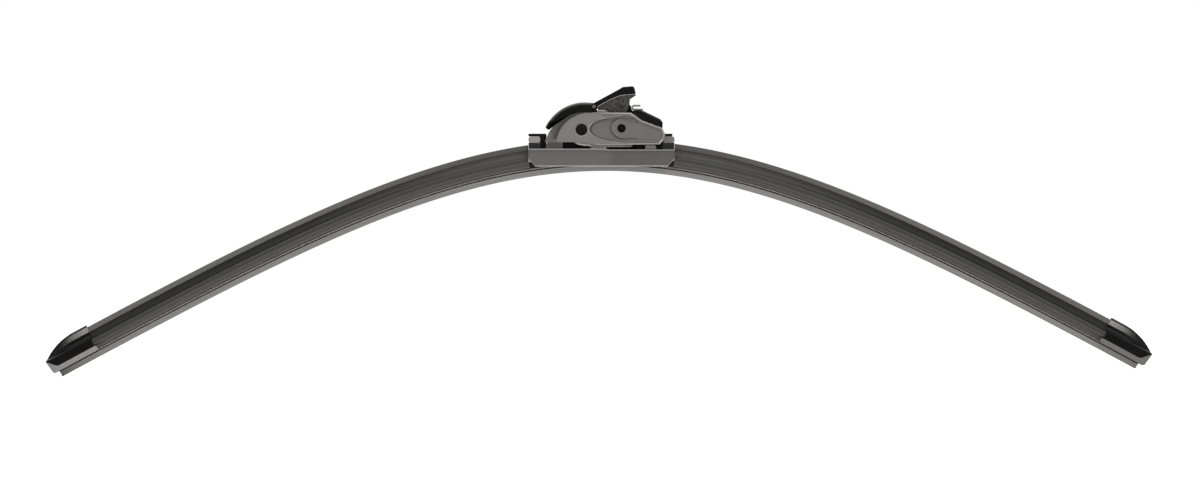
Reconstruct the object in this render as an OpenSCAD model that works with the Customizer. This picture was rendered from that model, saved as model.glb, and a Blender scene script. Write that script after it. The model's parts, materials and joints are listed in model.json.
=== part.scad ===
// Windscreen wiper blade, frameless kind, with a rocking adapter for several arms.
// The blade is one arched bar: a rubber squeegee between two spring rails, a rubber
// spoiler over each arm, and a steel clamp with a moulded cover at the middle.
// The adapter rocks on the clamp's pin, and a latch lever closes its hook channel.
// X runs along the blade, Z is up, and the front faces -Y. The origin is the centre
// of the large side-pin bore at mid width. Section heights start at the wiping edge.

/* [Arch] */
// Left arm, from the crown of the bend to the end of the lip, along the rails
arm_left = 330; // [280:0.5:380]
// Right arm, from the crown of the bend to the end of the lip, along the rails
arm_right = 321; // [280:0.5:380]
// Slope that the arms come close to at their ends, in degrees
end_slope = 28.9; // [20:0.1:31]
// Length over which the bend dies away from the crown
bend_length = 138; // [120:1:170]
// Crown of the bend to the right of the large bore
crown_x = 13.6; // [12:0.1:15]
// Wiping edge below the large bore, at the crown
lip_drop = 22.7; // [22.6:0.05:23.4]

/* [Rubber squeegee] */
// Width of the wiping edge
edge_w = 0.7; // [0.5:0.05:1]
// Height of the lip
lip_h = 2.9; // [2.6:0.05:3]
// Width of the lip at its root
lip_root_w = 1.7; // [1.2:0.1:2]
// Width of the wings that steady the lip
wing_w = 3; // [2.2:0.1:3.6]
// Height of the wings
wing_h = 0.5; // [0.4:0.05:0.6]
// Width of the neck that the lip flips on
neck_w = 0.8; // [0.6:0.05:1]
// Height of the neck
neck_h = 0.8; // [0.6:0.05:0.9]
// Width of the heel below the rails
heel_w = 5.8; // [5:0.1:6]
// Height of the heel
heel_h = 3.9; // [3.7:0.05:4]
// Width of the web between the rails
web_w = 2.4; // [1.8:0.1:2.6]
// Width of the head bar over the rails
head_w = 4.6; // [4:0.1:4.8]
// Height of the head bar
head_h = 0.6; // [0.4:0.05:0.65]

/* [Spring rails] */
// Width of each rail
rail_w = 4; // [3.6:0.05:4.1]
// Thickness of each rail
rail_t = 0.9; // [0.8:0.05:1]
// Rail ends, short of the end of the lip
rail_short = 1; // [0.5:0.1:2]
// Clearance of the rails and pockets
fit = 0.1; // [0.05:0.01:0.12]

/* [Spoiler] */
// Width of the base with its claws
base_w = 14; // [13.6:0.1:14.2]
// Height of the base's flank
base_h = 3.2; // [2.8:0.1:3.4]
// Thickness of the claws below the rails
claw_t = 1.05; // [0.8:0.05:1.1]
// Gap between the two rows of claws
claw_gap = 6.6; // [6.4:0.1:7.4]
// Width of the fin at its foot
foot_w = 7.2; // [6:0.1:8]
// Width of the fin's waist
waist_w = 4; // [3:0.1:4.6]
// Width of the crest's lower edge
crest_w = 5.2; // [4.2:0.1:5.6]
// Width of the crest's top
top_w = 1.2; // [0.8:0.1:1.6]
// Height of the crest's lower edge above the wiping edge
crest_z = 14.6; // [14:0.05:15]
// Height of the blade from wiping edge to crest
blade_h = 17.6; // [17:0.05:18]

/* [End caps] */
// Length of a cap over the blade
cap_cover = 25.1; // [22:0.1:28]
// Length of a cap past the end of the lip
cap_nose = 4.3; // [3:0.1:5]
// Width of a cap
cap_w = 16; // [15.8:0.1:17]
// Cap above the crest
cap_proud = 1.2; // [1:0.05:1.6]
// Height of the cap's lower edge above the wiping edge
cap_low = 3.6; // [3.4:0.05:4]
// Radius of the nose in side view
cap_nose_r = 34; // [31:0.5:37]
// Radius that the nose's two upper facets are cut with
facet_r = 48; // [46:0.5:54]
// Slant of the nose's two upper facets, in degrees
cap_slant = 52; // [48:1:56]
// Length of spoiler inside a cap
cap_grip = 10; // [7:0.5:12]
// Length of the steel clip inside a cap
clip_len = 8; // [6:0.5:9]
// Thickness of the clip's steel
clip_t = 0.5; // [0.4:0.05:0.6]

/* [Middle clamp and cover] */
// Room for the adapter to rock, left of its core
room_left = 2; // [1.8:0.1:4]
// Room for the adapter to rock, right of its core
room_right = 1.9; // [1.8:0.1:4]
// Width of the cover
cover_w = 19.4; // [19:0.1:20.4]
// Thickness of the cover's skirts
skirt_t = 1.5; // [1.2:0.05:1.6]
// Lower edge of the skirts, below the large bore
skirt_drop = 20.3; // [20:0.05:20.6]
// Upper edge of the skirts' left half, below the large bore
skirt_top_left = 10.5; // [10.4:0.05:10.7]
// Upper edge of the skirts' right half, below the large bore
skirt_top_right = 11; // [10.8:0.05:11.05]
// Top of the cover's floor, below the large bore
floor_drop = 11.1; // [11.05:0.05:11.2]
// Thickness of the floor
floor_t = 0.9; // [0.7:0.05:0.95]
// Length of a tower along the blade
tower_len = 6.6; // [6:0.1:7]
// Width of a tower
tower_w = 10.4; // [9:0.1:11]
// Top of the towers, below the large bore
tower_drop = 3.6; // [3.4:0.05:4]
// Rounding of the towers
tower_r = 1.6; // [1:0.1:2]
// Length of the steel clamp to each side of the crown
clamp_half = 24; // [20:0.5:27]
// Thickness of the clamp's steel
clamp_t = 0.8; // [0.6:0.05:0.85]

/* [Pivot] */
// Rocking axis, to the right of the large bore
pivot_x = 9.5; // [9.2:0.1:10]
// Rocking axis, below the large bore
pivot_drop = 5.5; // [5.3:0.1:5.6]
// Radius of the pivot pin
pivot_r = 2.5; // [2:0.05:2.6]
// Running clearance round the pins
run = 0.05; // [0.03:0.01:0.08]
// Radius of the block and ears round the pivot pin
boss_r = 4.2; // [4:0.05:4.3]
// Width of the pivot block
block_w = 7.2; // [6.8:0.1:7.2]
// Thickness of the block's tongues over the towers
tongue_t = 1.4; // [1:0.05:1.6]

/* [Adapter] */
// Width between the adapter's walls, for a 9 mm hook
channel_w = 9.2; // [9.2:0.05:9.4]
// Width of the adapter's core over its walls
core_w = 12.8; // [12.4:0.1:13]
// Width of the whole adapter over its side plates
adapter_w = 15.8; // [15.4:0.1:16.2]
// Radius of the large side-pin bore, for a quarter inch pin
large_r = 3.2; // [3:0.05:3.3]
// Radius of the small side-pin bore, for a three sixteenths inch pin
small_r = 2.4; // [2.2:0.05:2.5]
// Small bore to the right of the large bore
small_x = 22.2; // [22:0.1:22.6]
// Small bore above the large bore
small_z = 0.8; // [0.6:0.1:0.9]
// Left end of the core, left of the large bore
core_left = -17.5; // [-18:0.1:-17]
// Right end of the side plates
tail_x = 46.3; // [45.8:0.1:47]
// Wall round the bores inside the hook channel
bore_wall = 1.3; // [1:0.05:1.4]
// Gap for the strap of a hook
strap_gap = 3.8; // [3.4:0.1:4]
// Radius of the hood's back
hood_r = 24.1; // [23.9:0.1:24.3]
// Top of the side plates above the large bore
plate_top = 9.5; // [9.4:0.05:9.6]
// Radius of the side plates' nose
plate_nose_r = 22; // [21.8:0.1:22.3]
// Depth of the side plates' relief
relief = 0.7; // [0.2:0.05:0.8]

/* [Latch lever] */
// Lever's hinge to the right of the large bore
hinge_x = 6.9; // [6.7:0.1:7]
// Lever's hinge above the large bore
hinge_z = 12.9; // [12.8:0.1:13]
// Radius of the lever's pin
lever_pin_r = 1; // [0.8:0.05:1.05]
// Radius of the lever's knuckle
knuckle_r = 1.9; // [1.7:0.05:1.95]
// Width of the lever
lever_w = 8.4; // [8:0.1:8.6]
// Thickness of the lever's strap
strap_t = 2.8; // [2.4:0.1:3]
// Thickness of the lever's cheeks
cheek_t = 1.3; // [1:0.05:1.6]
// Thickness of the catch's strip
catch_t = 0.8; // [0.6:0.05:0.9]
// Width of the catch
catch_w = 6; // [5:0.1:7]

/* [Hidden] */
$fn = 96;
tiny = 0.01;

core_right = tail_x - 5.3;

// Heights above the wiping edge
wing_top = lip_h + wing_h;
neck_top = wing_top + neck_h;
slot_low = neck_top + heel_h;
slot_high = slot_low + rail_t + fit;
rail_mid = (slot_low + slot_high) / 2;
head_top = slot_high + head_h;
claw_low = slot_low - claw_t;
base_top = claw_low + base_h;
rail_in = web_w / 2 + fit;
rail_out = rail_in + rail_w;
web_left_t = 3.2;
web_right_t = 2;
cover_left = core_left - room_left - web_left_t - fit - tower_len;
cover_right = core_right + room_right + web_right_t + fit + tower_len;
cover_mid = (cover_left + cover_right) / 2;

// The bend: the slope grows from the crown outwards and settles near the ends
crown_z = rail_mid - lip_drop;
turn_step = 1.4;
function tanh(x) = 1 - 2 / (exp(2 * x) + 1);
function slope(s) = end_slope * tanh(s / bend_length);
function slope_place(a) = bend_length / 2 * ln((end_slope + a) / (end_slope - a));
function total(v) = v * [for (x = v) 1];
function rail_point(s, n = 40) =
    let (a = [for (i = [0 : n - 1]) slope((i + 0.5) * s / n)])
    [crown_x + s / n * total([for (x = a) cos(x)]), crown_z - s / n * total([for (x = a) sin(x)])];
// Places along the rails at equal turns, so that the arms are as smooth all along
function stations(from, to) = let (
    first = ceil(slope(from + 2) / turn_step),
    last = floor(slope(to - 2) / turn_step))
    concat([from], [for (k = [first : last]) slope_place(k * turn_step)], [to]);

// An outline of [height, y] corners, from the corners of its rear half
function both_halves(half) =
    concat(half, [for (i = [len(half) - 1 : -1 : 0]) [half[i][0], -half[i][1]]]);
module section(half) {
    translate([-rail_mid, 0]) polygon(both_halves(half));
}

// A whole arm's length of one outline, swept along the bend. The first end is square to
// the blade, or upright, as where it meets the cover.
module long_sweep(outline, from, to, upright = false) {
    at = stations(from, to);
    n = len(outline);
    points = [for (k = [0 : len(at) - 1])
        let (p = rail_point(at[k]), a = slope(at[k]), lean = k == 0 && upright ? 1 / cos(a) : 0)
        for (q = outline)
        let (h = q[0] - rail_mid)
        lean > 0 ? [p[0], q[1], p[1] + h * lean]
                 : [p[0] + h * sin(a), q[1], p[1] + h * cos(a)]];
    sides = [for (k = [0 : len(at) - 2]) for (i = [0 : n - 1]) let (j = (i + 1) % n)
        [k * n + j, k * n + i, (k + 1) * n + i, (k + 1) * n + j]];
    first = [for (i = [0 : n - 1]) i];
    last = [for (i = [n - 1 : -1 : 0]) (len(at) - 1) * n + i];
    polyhedron(points, concat([first], sides, [last]));
}

// Near the crown the rails follow one arc, which passes through both ends of the cover
cover_reach = cover_right - cover_mid + abs(crown_x - cover_mid);
reach_dip = crown_z - rail_point(cover_reach)[1];
crown_r = (pow(rail_point(cover_reach)[0] - crown_x, 2) + pow(reach_dip, 2)) / (2 * reach_dip);
function crown_slope(x) = asin((x - crown_x) / crown_r);
function station(x) = crown_slope(x) * PI / 180 * crown_r;
module crown_sweep(x0, x1) {
    translate([crown_x, 0, crown_z - crown_r])
        rotate([0, -90, -90])
        rotate([0, 0, crown_slope(x0)])
        rotate_extrude(angle = crown_slope(x1) - crown_slope(x0), $fn = 1440)
        translate([crown_r, 0]) children();
}

// Near the ends the rails are as good as straight: a frame at the end of an arm
module at_end(arm) {
    end = rail_point(arm);
    translate([end[0], 0, end[1]]) rotate([0, slope(arm), 0]) children();
}
module bar(x0, x1, half) {
    translate([x0, 0, 0]) rotate([90, 0, 90]) linear_extrude(x1 - x0)
        rotate(90) mirror([0, 1]) section(half);
}

// A shape drawn in the side view, as thick as from y0 to y1
module slab(y0, y1) {
    translate([0, y1, 0]) rotate([90, 0, 0]) linear_extrude(y1 - y0) children();
}
module across(w) {
    slab(-w / 2, w / 2) children();
}
module rod(x, z, r, w) {
    across(w) translate([x, z]) circle(r);
}
// A box in the side view
module area(x0, z0, x1, z1) {
    translate([x0, z0]) square([x1 - x0, z1 - z0]);
}
module both_sides() {
    children();
    mirror([0, 1, 0]) children();
}
module mirrored_arm() {
    translate([crown_x, 0, 0]) mirror([1, 0, 0]) translate([-crown_x, 0, 0]) children();
}

// Rubber squeegee with lip, wings, neck, heel, web and head bar
squeegee_half = [
    [0, edge_w / 2], [lip_h - wing_h, lip_root_w / 2], [lip_h, wing_w / 2],
    [wing_top, wing_w / 2], [wing_top, neck_w / 2], [neck_top, neck_w / 2],
    [neck_top, heel_w / 2 - 0.4], [neck_top + 0.4, heel_w / 2],
    [slot_low, heel_w / 2], [slot_low, web_w / 2], [slot_high, web_w / 2],
    [slot_high, head_w / 2], [head_top - 0.2, head_w / 2], [head_top, head_w / 2 - 0.3]];
module squeegee() {
    color("#3a3a3a") long_sweep(both_halves(squeegee_half), -arm_left, arm_right);
}

// Spring rails in the squeegee's side slots
module rail() {
    low = rail_mid - rail_t / 2;
    high = rail_mid + rail_t / 2;
    long_sweep([[low, rail_in], [low, rail_out], [high, rail_out], [high, rail_in]],
        -arm_left + rail_short, arm_right - rail_short);
}
module rail_rear() {
    color("silver") rail();
}
module rail_front() {
    color("silver") mirror([0, 1, 0]) rail();
}

// Steel clip that closes round the rails near the end of an arm
module end_clip(arm) {
    to = -rail_short - fit;
    side = rail_out + fit + clip_t;
    high = head_top + fit;
    at_end(arm) difference() {
        bar(to - clip_len, to, [[slot_low - clip_t, side], [high + clip_t, side]]);
        bar(to - clip_len - 1, to + 1, [[slot_low, rail_out + fit], [high, rail_out + fit]]);
        bar(to - clip_len - 1, to + 1,
            [[slot_low - claw_t, claw_gap / 2], [slot_low + tiny, claw_gap / 2]]);
    }
}
module end_clip_left() {
    color("#9a9a98") mirrored_arm() end_clip(arm_left);
}
module end_clip_right() {
    color("#9a9a98") end_clip(arm_right);
}

// Outside of the spoiler, grown by g
function spoiler_outside(g) = [
    [claw_low - g, base_w / 2 - 0.4 + g], [claw_low + 0.4, base_w / 2 + g],
    [base_top - 0.5, base_w / 2 + g], [base_top + g, base_w / 2 - 0.6 + g],
    [base_top + 0.4 + g, foot_w / 2 + g], [base_top + 1.3 + g, (foot_w + waist_w) / 4 + g],
    [base_top + 2.4, waist_w / 2 + g], [crest_z - 0.5, waist_w / 2 + 0.1 + g],
    [crest_z - g, crest_w / 2 + g], [crest_z + 0.3, crest_w / 2 + g],
    [blade_h - 0.6, top_w / 2 + 0.5 + g], [blade_h + g, top_w / 2]];
function spoiler_inside() = [
    [head_top + fit, head_w / 2], [slot_high + fit / 2, head_w / 2 + 0.3], [slot_high + fit / 2, rail_out + fit],
    [slot_low - fit / 2, rail_out + fit], [slot_low - fit / 2, claw_gap / 2],
    [claw_low, claw_gap / 2]];
module spoiler(from, to) {
    long_sweep(both_halves(concat(spoiler_inside(), spoiler_outside(0))), from, to, true);
}
module spoiler_left() {
    color("#5a5a58") mirrored_arm()
        spoiler(fit - station(cover_left), arm_left - cap_cover + cap_grip);
}
module spoiler_right() {
    color("#5a5a58") spoiler(station(cover_right) + fit, arm_right - cap_cover + cap_grip);
}

// Cap over the end of an arm, in a frame at the end of the lip
cap_top = blade_h + cap_proud;
tip_h = 11.4;
cap_half = [
    [cap_low, cap_w / 2 - 0.7], [cap_low + 2.3, cap_w / 2 - 0.1], [cap_low + 2.7, cap_w / 2],
    [base_top + 0.6, cap_w / 2], [base_top + 1.2, cap_w / 2 - 0.8],
    [base_top + 1.8, foot_w / 2 + 1], [base_top + 2.8, waist_w / 2 + 1.8],
    [crest_z - 0.2, crest_w / 2 + 1], [crest_z + 0.4, crest_w / 2 + 1.2],
    [cap_top, crest_w / 2 + 1.2]];
// Where a nose of radius r that falls by that much starts to curve
function nose_start(r, fall) = cap_nose - sqrt(pow(r, 2) - pow(r - fall, 2));
// Outline in the side view below a nose of radius r
module below_curve(r, fall) {
    area(-2 * cap_cover, -r, nose_start(r, fall), 0);
    translate([nose_start(r, fall), -r]) circle(r, $fn = 240);
}
// What lies below one of the nose's upper facets, which slants down to one side
cap_ridge = 0.7;
module below_facet(side) {
    translate([0, 0, cap_top + cap_ridge - rail_mid]) rotate([-side * cap_slant, 0, 0])
        across(3 * cap_w) below_curve(facet_r, (cap_top - tip_h) * cos(cap_slant));
}
// Seen from above, the fin over the base narrows towards the tip
fin_low = base_top + 1.8;
fin_start = -13;
fin_r = 36;
module fin_side(side) {
    translate([fin_start, side * (foot_w / 2 + 1 - fin_r)]) circle(fin_r, $fn = 240);
    area(-2 * cap_cover, -cap_w, fin_start, cap_w);
}
module fin_room() {
    translate([0, 0, -2 * rail_mid]) linear_extrude(4 * rail_mid) intersection() {
        fin_side(-1);
        fin_side(1);
    }
}
module end_cap(arm) {
    corner_r = 5;
    grip_x = -cap_cover + cap_grip;
    spoiler_hole = spoiler_outside(0.15);
    clip_side = rail_out + clip_t + 3 * fit;
    at_end(arm) difference() {
        intersection() {
            bar(-cap_cover, cap_nose, cap_half);
            across(cap_w + 1) translate([0, cap_top - rail_mid])
                below_curve(cap_nose_r, cap_top - tip_h);
            across(cap_w + 1) translate([0, -rail_mid]) polygon([
                [-cap_cover, 0], [-cap_cover, cap_low + 2.2], [-cap_cover + 1, cap_low + 3.2],
                [-cap_cover + 0.8, crest_z - 3], [-cap_cover, crest_z + 0.4],
                [-cap_cover, cap_top + 1], [cap_nose + 1, cap_top + 1],
                [cap_nose + 0.3, tip_h + 0.6], [cap_nose - 0.3, tip_h - 1],
                [cap_nose - 1.2, cap_low + 0.8],
                [cap_nose - 1.9, cap_low], [0, 0]]);
            union() {
                across(cap_w + 1)
                    area(-2 * cap_cover, -rail_mid, 2 * cap_nose, fin_low - rail_mid);
                intersection() {
                    below_facet(-1);
                    below_facet(1);
                    fin_room();
                }
            }
            translate([0, 0, -20]) linear_extrude(40) {
                area(-cap_cover - 1, -cap_w, cap_nose - corner_r, cap_w);
                area(0, corner_r - cap_w / 2, cap_nose, cap_w / 2 - corner_r);
                for (side = [-1, 1])
                    translate([cap_nose - corner_r, side * (cap_w / 2 - corner_r)])
                        circle(corner_r);
            }
        }
        bar(-cap_cover - 1, grip_x + fit, spoiler_hole);
        bar(grip_x, fit, [[slot_low - clip_t - fit, clip_side],
                          [head_top + clip_t + 3 * fit, clip_side]]);
        bar(-cap_cover - 1, fit, [[cap_low - 1, claw_gap / 2 + fit],
                                  [slot_low, claw_gap / 2 + fit]]);
    }
}
module end_cap_left() {
    color("#161616") mirrored_arm() end_cap(arm_left);
}
module end_cap_right() {
    color("#161616") end_cap(arm_right);
}

// Steel clamp crimped round the rails, with two ears for the pivot pin
clamp_left = crown_x - clamp_half;
clamp_right = crown_x + clamp_half;
clamp_side = rail_out + fit + clamp_t;
clamp_top = head_top + fit + clamp_t;
ear_out = channel_w / 2 - 0.25;
ear_in = block_w / 2 + run;
module boss_side(low) {
    translate([pivot_x, -pivot_drop]) circle(boss_r);
    area(pivot_x - boss_r, low, pivot_x + boss_r, -pivot_drop);
}
module rail_clamp() {
    inside = [[slot_low, rail_out + fit], [head_top + fit, rail_out + fit]];
    color("#8c8c8a") difference() {
        union() {
            difference() {
                crown_sweep(clamp_left, clamp_right)
                    section([[slot_low - clamp_t, clamp_side], [clamp_top, clamp_side]]);
                crown_sweep(clamp_left - 1, clamp_right + 1) section(inside);
                crown_sweep(clamp_left - 1, clamp_right + 1)
                    section([[slot_low - 2, claw_gap / 2], [slot_low + tiny, claw_gap / 2]]);
            }
            both_sides() slab(ear_in, ear_out)
                boss_side(crown_z + clamp_top - rail_mid - clamp_t / 2);
        }
        rod(pivot_x, -pivot_drop, pivot_r + run / 2, adapter_w);
    }
}

// Moulded cover: skirts, floor, end walls, towers and claws round the rails
floor_low = floor_drop + floor_t;
skirt_in = cover_w / 2 - skirt_t;
wall_t = 3;
module skirt_side() {
    bevel_x = 3.9;
    bevel_z = 4.2;
    polygon([
        [cover_left, -skirt_top_left - 0.6], [cover_left + 0.6, -skirt_top_left],
        [cover_mid, -skirt_top_left], [cover_mid + 5, -skirt_top_right],
        [cover_right - 0.6, -skirt_top_right], [cover_right, -skirt_top_right - 0.6],
        [cover_right, -skirt_drop + bevel_z], [cover_right - bevel_x, -skirt_drop],
        [cover_left + bevel_x, -skirt_drop], [cover_left, -skirt_drop + bevel_z]]);
}
// A tower's head is rounded all round, and its neck is narrower
head_low = 7.2;
module tower_side(x) {
    translate([x, 0]) {
        area(0, tower_r - head_low, tower_len, -tower_drop - tower_r);
        area(tower_r, -head_low, tower_len - tower_r, -tower_drop);
        for (side = [tower_r, tower_len - tower_r])
            for (high = [tower_r - head_low, -tower_drop - tower_r])
                translate([side, high]) circle(tower_r);
    }
}
// A rib that stands on the floor, with rounded upper corners
module rib_side(x0, x1, high) {
    r = 1.2;
    area(x0, -floor_drop - tiny, x1, high - r);
    area(x0 + r, -floor_drop - tiny, x1 - r, high);
    for (x = [x0 + r, x1 - r])
        translate([x, high - r]) circle(r);
}
module saddle_cover() {
    slot = [[slot_low - fit / 2, rail_out + fit], [head_top + 3 * fit, rail_out + fit]];
    rubber = [[0, heel_w / 2 + 0.3], [slot_low, heel_w / 2 + 0.3]];
    color("#a2a29e") difference() {
        union() {
            both_sides() slab(skirt_in, cover_w / 2) skirt_side();
            across(2 * skirt_in + tiny)
                area(cover_left, -floor_low, cover_right, -floor_drop);
            for (x = [cover_left, cover_right - wall_t])
                across(2 * skirt_in + tiny) area(x, -skirt_drop + 3.6, x + wall_t, -skirt_top_right);
            for (x = [cover_left, cover_right - tower_len]) {
                across(tower_w) tower_side(x);
                across(tower_w - 2.4)
                    area(x + 0.8, -floor_drop - tiny, x + tower_len - 0.8, -head_low + 1);
            }
            both_sides() slab(ear_out + 0.7, core_w / 2 - 0.2) {
                rib_side(cover_left + 9.8, cover_left + 19, -7.5);
                rib_side(cover_right - 16.3, cover_right - 10.2, -8.6);
            }
            for (x = [cover_left + 5, cover_right - 9])
                intersection() {
                    across(2 * skirt_in + tiny) area(x, -skirt_drop, x + 4, -floor_drop);
                    crown_sweep(cover_left, cover_right)
                        section([[claw_low, skirt_in + 1], [claw_low + 12, skirt_in + 1]]);
                }
        }
        crown_sweep(cover_left - 2, cover_right + 2) section(slot);
        crown_sweep(cover_left - 2, cover_right + 2) section(rubber);
        across(channel_w - 0.2)
            area(pivot_x - boss_r - 0.3, -floor_low - 1, pivot_x + boss_r + 0.3, -floor_drop + 1);
    }
}

// Black block that carries the pivot pin, with a tongue over each tower
module pivot_block() {
    base_t = 3.6;
    web_left = cover_left + tower_len + fit;
    web_right = cover_right - tower_len - fit;
    tongue_z = -tower_drop + fit;
    color("#1c1c1c") difference() {
        union() {
            across(block_w) {
                area(web_left, -floor_drop, web_right, -floor_drop + base_t);
                boss_side(crown_z + clamp_top - rail_mid + fit);
                area(web_left, -floor_drop, web_left + web_left_t, tongue_z + tongue_t);
                area(cover_left, tongue_z, web_left + tiny, tongue_z + tongue_t);
                area(web_right - web_right_t, -floor_drop, web_right, tongue_z + tongue_t);
                area(web_right - tiny, tongue_z, cover_right - 1.2, tongue_z + tongue_t);
            }
        }
        rod(pivot_x, -pivot_drop, pivot_r + run / 2, adapter_w);
    }
}

// Pin that the adapter rocks on
module pivot_pin() {
    color("#b8b8b6") rod(pivot_x, -pivot_drop, pivot_r, core_w - 0.2);
}

// Side view of the side plates
nose_x = 1;
plate_low_left = -6.9;
plate_low = -8.1;
module nose_disc(grow) {
    translate([nose_x, plate_top - plate_nose_r]) circle(plate_nose_r + grow, $fn = 200);
}
module plate_side() {
    intersection() {
        nose_disc(0);
        area(-plate_nose_r - 2, plate_low_left, nose_x, plate_top);
    }
    polygon([
        [nose_x, plate_low_left], [nose_x, plate_top], [tail_x - 18.8, plate_top],
        [tail_x - 13, 5.4], [tail_x - 1.6, 1.3], [tail_x, -2.3], [tail_x - 0.4, -4.8],
        [tail_x - 2.5, -7.6], [tail_x - 3.1, plate_low],
        [8, -8.4], [6, -9], [1.5, -9], [-1.9, -8.4], [-4.2, plate_low_left]]);
}
hood_c = [1.86, -8.88];
module hood_side() {
    difference() {
        intersection() {
            translate(hood_c) circle(hood_r, $fn = 240);
            area(-25, 0.3, hinge_x - 1, 20);
        }
        nose_disc(0.2);
        polygon([[-19.5, -1], [-17.3, 3.2], [-12, -1]]);
        area(nose_x, 0, 20, plate_top + 0.2);
    }
}
module wedge_side() {
    translate([tail_x, 0]) polygon([
        [-17.9, 10.2], [-16.6, 10.8], [-12.9, 11], [-9.3, 9.2], [-5.1, 7.2], [-1.9, 5.6],
        [-1.3, 4.6], [-1.4, 1.5], [-12.7, 5.6]]);
}

// Black core of the adapter: walls, hook channel, hood and wedge
core_low = -5.2;
socket_r = 3.9;
module channel_side() {
    difference() {
        union() {
            intersection() {
                circle(large_r + bore_wall + strap_gap);
                area(-20, -20, 0, 20);
            }
            area(0, -20, 8.6, large_r + bore_wall + strap_gap);
            area(8.5, -20, 34, 30);
        }
        circle(large_r + bore_wall);
        translate([small_x, small_z]) circle(small_r + bore_wall - 0.2);
    }
}
module core_side() {
    intersection() {
        plate_side();
        area(core_left, core_low, core_right, plate_top - 0.5);
    }
    intersection() {
        translate(hood_c) circle(hood_r, $fn = 240);
        area(-16, 3, hinge_x + 1.7, 20);
    }
    translate([tail_x, 0])
        polygon([[-16.6, 6], [-16.6, 10.6], [-12.9, 11], [-5.8, 7.5], [-2.8, 4], [-5.3, -2]]);
    translate([pivot_x, -pivot_drop]) circle(socket_r);
    area(pivot_x - socket_r, -pivot_drop, pivot_x + socket_r, 0);
}
module adapter_body() {
    color("#1e1e1e") difference() {
        union() {
            across(core_w) core_side();
            across(adapter_w) hood_side();
            across(adapter_w) wedge_side();
        }
        across(channel_w) channel_side();
        slab(-adapter_w, core_w / 2) circle(large_r);
        slab(-adapter_w, core_w / 2) translate([small_x, small_z]) circle(small_r);
        rod(pivot_x, -pivot_drop, pivot_r + run, adapter_w);
        rod(hinge_x, hinge_z, knuckle_r + 0.6, channel_w);
        slab(-adapter_w / 2 + 0.6, adapter_w) translate([hinge_x, hinge_z]) circle(lever_pin_r);
    }
}

// Grey side plate: a leaf shaped flat round the large bore, and a sunk field with a
// rounded nose that holds a lower pad round the small bore
flange_t = 0.8;
flange_low = -9.6;
module field_side() {
    nose_r = 5.5;
    translate([nose_x + 9.55, 0.15]) circle(nose_r);
    polygon([
        [nose_x + 9.55, 0.15 - nose_r], [nose_x + 9.55, 0.15 + nose_r], [tail_x - 20.8, 6.9],
        [tail_x - 17.5, 6.9], [tail_x - 13.3, 3.9], [tail_x - 2.1, -0.2], [tail_x - 1.5, -2.5],
        [tail_x - 1.9, -4.7], [tail_x - 3, -5.9]]);
}
module pad_side() {
    pad_r = 5.2;
    translate([small_x, small_z]) circle(pad_r);
    area(small_x, small_z - pad_r, tail_x - 8, small_z + 3);
}
module side_plate() {
    face = adapter_w / 2;
    difference() {
        slab(core_w / 2, face) plate_side();
        slab(face - relief / 2, face + 1) field_side();
        slab(face - relief, face + 1) difference() {
            intersection() {
                field_side();
                area(0, -5.2, tail_x - 15, 6.2);
            }
            pad_side();
        }
        slab(face - relief / 2, face + 1) difference() {
            area(-24, -6, 4, 8);
            translate([4.5, -9.5]) circle(18.8, $fn = 200);
        }
    }
    slab(core_w / 2, core_w / 2 + flange_t)
        polygon([
            [3.2, plate_low + 1], [4.2, flange_low],
            [tail_x - 18.8, flange_low], [tail_x - 17, plate_low + 1]]);
}
module side_plate_rear() {
    color("#b4b4b0") side_plate();
}
module side_plate_front() {
    color("#b4b4b0") difference() {
        mirror([0, 1, 0]) side_plate();
        slab(-adapter_w, 0) circle(large_r);
        slab(-adapter_w, 0) translate([small_x, small_z]) circle(small_r);
    }
}

// Latch lever, open: strap, head and two cheeks
module latch_lever() {
    strap = [[hinge_x - 0.2, hinge_z + knuckle_r], [21.4, 22.8], [22.6, 23.8], [28.4, 24.3],
             [29.4, 23.6], [30, 20.6], [30.2, 19.4], [22, 18.7], [16.5, 16.6],
             [hinge_x + 0.6, hinge_z - 1.2]];
    cheek = [[hinge_x + 1, hinge_z + 1], [16.5, 18.6], [22, 20], [30, 20.2], [30.2, 19.3],
             [26.9, 17.1], [26.7, 14.6], [24.9, 9], [9.6, 9], [9, hinge_z - 1]];
    color("#2a2a2a") difference() {
        union() {
            across(lever_w) polygon(strap);
            both_sides() slab(lever_w / 2 - cheek_t - 0.3, lever_w / 2 - 0.3) polygon(cheek);
            rod(hinge_x, hinge_z, knuckle_r, lever_w);
        }
        rod(hinge_x, hinge_z, lever_pin_r + run, lever_w + 1);
    }
}
module lever_pin() {
    color("silver") slab(-adapter_w / 2 + 0.7, adapter_w / 2 - 0.1)
        translate([hinge_x, hinge_z]) circle(lever_pin_r - 0.02);
}

// Bright hook that the lever's beak snaps behind
module catch_hook() {
    bend_x = 29.3;
    bend_z = 12.4;
    bend_r = 1.5;
    leg_x = 33.2;
    color("#d8d8d6") across(catch_w) {
        difference() {
            translate([bend_x, bend_z]) circle(bend_r);
            translate([bend_x, bend_z]) circle(bend_r - catch_t);
            area(bend_x, 0, 60, 60);
        }
        area(bend_x, bend_z + bend_r - catch_t, 32.6, bend_z + bend_r);
        area(bend_x, bend_z - bend_r, leg_x + catch_t, bend_z - bend_r + catch_t);
        area(leg_x, 5.2, leg_x + catch_t, bend_z - bend_r + tiny);
    }
}

squeegee();
rail_front();
rail_rear();
end_clip_left();
end_clip_right();
spoiler_left();
spoiler_right();
end_cap_left();
end_cap_right();
rail_clamp();
saddle_cover();
pivot_block();
pivot_pin();
adapter_body();
side_plate_front();
side_plate_rear();
latch_lever();
lever_pin();
catch_hook();
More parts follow.
